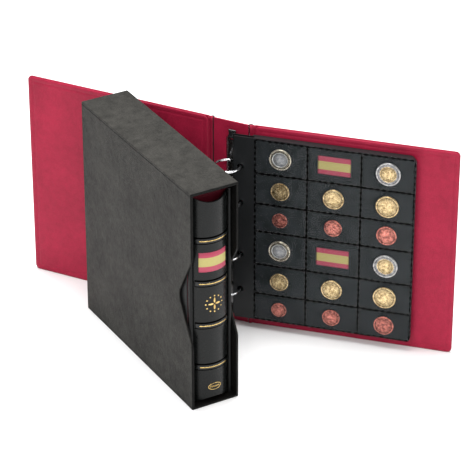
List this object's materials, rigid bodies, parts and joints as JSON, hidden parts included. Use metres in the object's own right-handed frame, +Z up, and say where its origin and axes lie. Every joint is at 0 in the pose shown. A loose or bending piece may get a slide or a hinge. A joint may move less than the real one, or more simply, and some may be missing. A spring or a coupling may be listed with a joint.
{
  "type": "coin album",
  "caption": "Ring-bound coin album with padded covers, leather-look spine and pocket leaves of coins, shown standing open beside its slipcase, which holds a closed album.",
  "frame": {"origin": "middle of the slipcase's underside, on the surface it stands on", "axes": "+Z up; -Y the way the slipcase's open side and the cased album's spine face; +X to the right of that spine, towards the open album"},
  "size_m": [0.3021, 0.3784, 0.25],
  "materials": {
    "case_leatherette": "fine grained black leatherette over board",
    "cover_skin": "black grained leatherette",
    "spine_skin": "smooth black leatherette",
    "red_lining": "soft padded red vinyl",
    "gold_foil": "stamped gold foil",
    "striped_paper": "printed red and yellow stripes",
    "plated_steel": "dark nickel plate",
    "ring_chrome": "bright nickel plate",
    "black_plastic": "moulded, satin",
    "leaf_plastic": "dark film",
    "clear_film": "clear, slightly wavy film",
    "black_card": "matt dark card",
    "coin_silver": "struck cupronickel",
    "coin_gold": "struck brass, worn",
    "coin_copper": "struck copper plate, worn"
  },
  "bodies": {
    "slipcase": {"slipcase_base_board": "case_leatherette", "slipcase_left_panel": "case_leatherette", "slipcase_right_panel": "case_leatherette", "slipcase_top_board": "case_leatherette", "slipcase_back_board": "case_leatherette"},
    "cased_album": {"cased_front_board": "cover_skin", "cased_front_lining": "red_lining", "cased_front_hinge": "cover_skin", "cased_back_board": "cover_skin", "cased_back_lining": "red_lining", "cased_back_hinge": "cover_skin", "cased_spine_shell": "spine_skin", "cased_spine_lining": "red_lining", "cased_spine_ribs": "spine_skin", "cased_spine_label": "striped_paper", "cased_spine_gold_lines": "gold_foil", "cased_spine_ornament": "gold_foil", "cased_ring_plate": "plated_steel", "cased_rivets": "plated_steel", "cased_rings_front": "ring_chrome", "cased_rings_back": "ring_chrome", "cased_lever_lower": "black_plastic", "cased_lever_upper": "black_plastic", "cased_leaves": "leaf_plastic"},
    "open_spine": {"open_spine_shell": "spine_skin", "open_spine_lining": "red_lining", "open_spine_ribs": "spine_skin", "open_spine_label": "striped_paper", "open_spine_gold_lines": "gold_foil", "open_spine_ornament": "gold_foil", "open_ring_plate": "plated_steel", "open_rivets": "plated_steel"},
    "open_front_cover": {"open_front_board": "cover_skin", "open_front_lining": "red_lining", "open_front_hinge": "cover_skin"},
    "open_back_cover": {"open_back_board": "cover_skin", "open_back_lining": "red_lining", "open_back_hinge": "cover_skin"},
    "front_rings": {"open_rings_front": "ring_chrome"},
    "back_rings": {"open_rings_back": "ring_chrome"},
    "lower_lever": {"open_lever_lower": "black_plastic"},
    "upper_lever": {"open_lever_upper": "black_plastic"},
    "lower_leaf": {"leaf_lower": "leaf_plastic"},
    "second_leaf": {"leaf_second": "leaf_plastic"},
    "top_leaf": {"leaf_top_film": "leaf_plastic", "leaf_top_pockets": "clear_film", "leaf_top_cards": "black_card", "striped_inserts": "striped_paper", "coins_copper_large": "coin_copper", "coins_copper_middle": "coin_copper", "coins_copper_small": "coin_copper", "coins_gold_core": "coin_gold", "coins_gold_core_ring": "coin_silver", "coins_gold_large": "coin_gold", "coins_gold_middle": "coin_gold", "coins_gold_small": "coin_gold", "coins_silver_core": "coin_silver", "coins_silver_core_ring": "coin_gold"}
  },
  "joints": [
    {"name": "cased_album_slide", "type": "slide", "parent": "slipcase", "child": "cased_album", "axis": [0, -1, 0], "range_m": [0, 0.2]},
    {"name": "open_album_carry", "type": "slide", "parent": "slipcase", "child": "open_spine", "axis": [0.829, 0.5592, 0], "range_m": [0, 0.33]},
    {"name": "front_cover_hinge", "type": "hinge", "parent": "open_spine", "child": "open_front_cover", "pos_m": [0.08614, 0.03972, 0], "axis": [0, 0, 1], "range_deg": [0, 90]},
    {"name": "back_cover_hinge", "type": "hinge", "parent": "open_spine", "child": "open_back_cover", "pos_m": [0.11086, 0.00308, 0], "axis": [0, 0, 1], "range_deg": [-100, 0]},
    {"name": "leaves_follow_cover", "type": "hinge", "parent": "open_spine", "child": "lower_leaf", "pos_m": [0.08501, 0.00808, 0], "axis": [0, 0, 1], "range_deg": [-100, 0]},
    {"name": "second_leaf_turn", "type": "hinge", "parent": "lower_leaf", "child": "second_leaf", "pos_m": [0.08501, 0.00808, 0], "axis": [0, 0, 1], "range_deg": [-28, 0]},
    {"name": "top_leaf_turn", "type": "hinge", "parent": "second_leaf", "child": "top_leaf", "pos_m": [0.08501, 0.00808, 0], "axis": [0, 0, 1], "range_deg": [-30, 0]},
    {"name": "back_rings_open", "type": "hinge", "parent": "open_spine", "child": "back_rings", "pos_m": [0.10199, 0.01157, 0], "axis": [0, 0, -1], "range_deg": [-6, 0]},
    {"name": "front_rings_open", "type": "hinge", "parent": "open_spine", "child": "front_rings", "pos_m": [0.09461, 0.02252, 0], "axis": [0, 0, 1], "range_deg": [-6, 0]},
    {"name": "upper_lever_press", "type": "hinge", "parent": "open_spine", "child": "upper_lever", "pos_m": [0.09714, 0.01626, 0.2213], "axis": [0.5592, -0.829, 0], "range_deg": [-15, 0]},
    {"name": "lower_lever_press", "type": "hinge", "parent": "open_spine", "child": "lower_lever", "pos_m": [0.09714, 0.01626, 0.0207], "axis": [-0.5592, 0.829, 0], "range_deg": [-15, 0]}
  ],
  "couplings": [
    {"joint": "front_cover_hinge", "follows": "open_album_carry", "rad_per_m": 4.76},
    {"joint": "back_cover_hinge", "follows": "open_album_carry", "rad_per_m": -5.2889},
    {"joint": "leaves_follow_cover", "follows": "open_album_carry", "rad_per_m": -5.2889},
    {"joint": "front_rings_open", "follows": "back_rings_open", "ratio": 1},
    {"joint": "upper_lever_press", "follows": "back_rings_open", "ratio": 2.5},
    {"joint": "lower_lever_press", "follows": "back_rings_open", "ratio": 2.5}
  ]
}
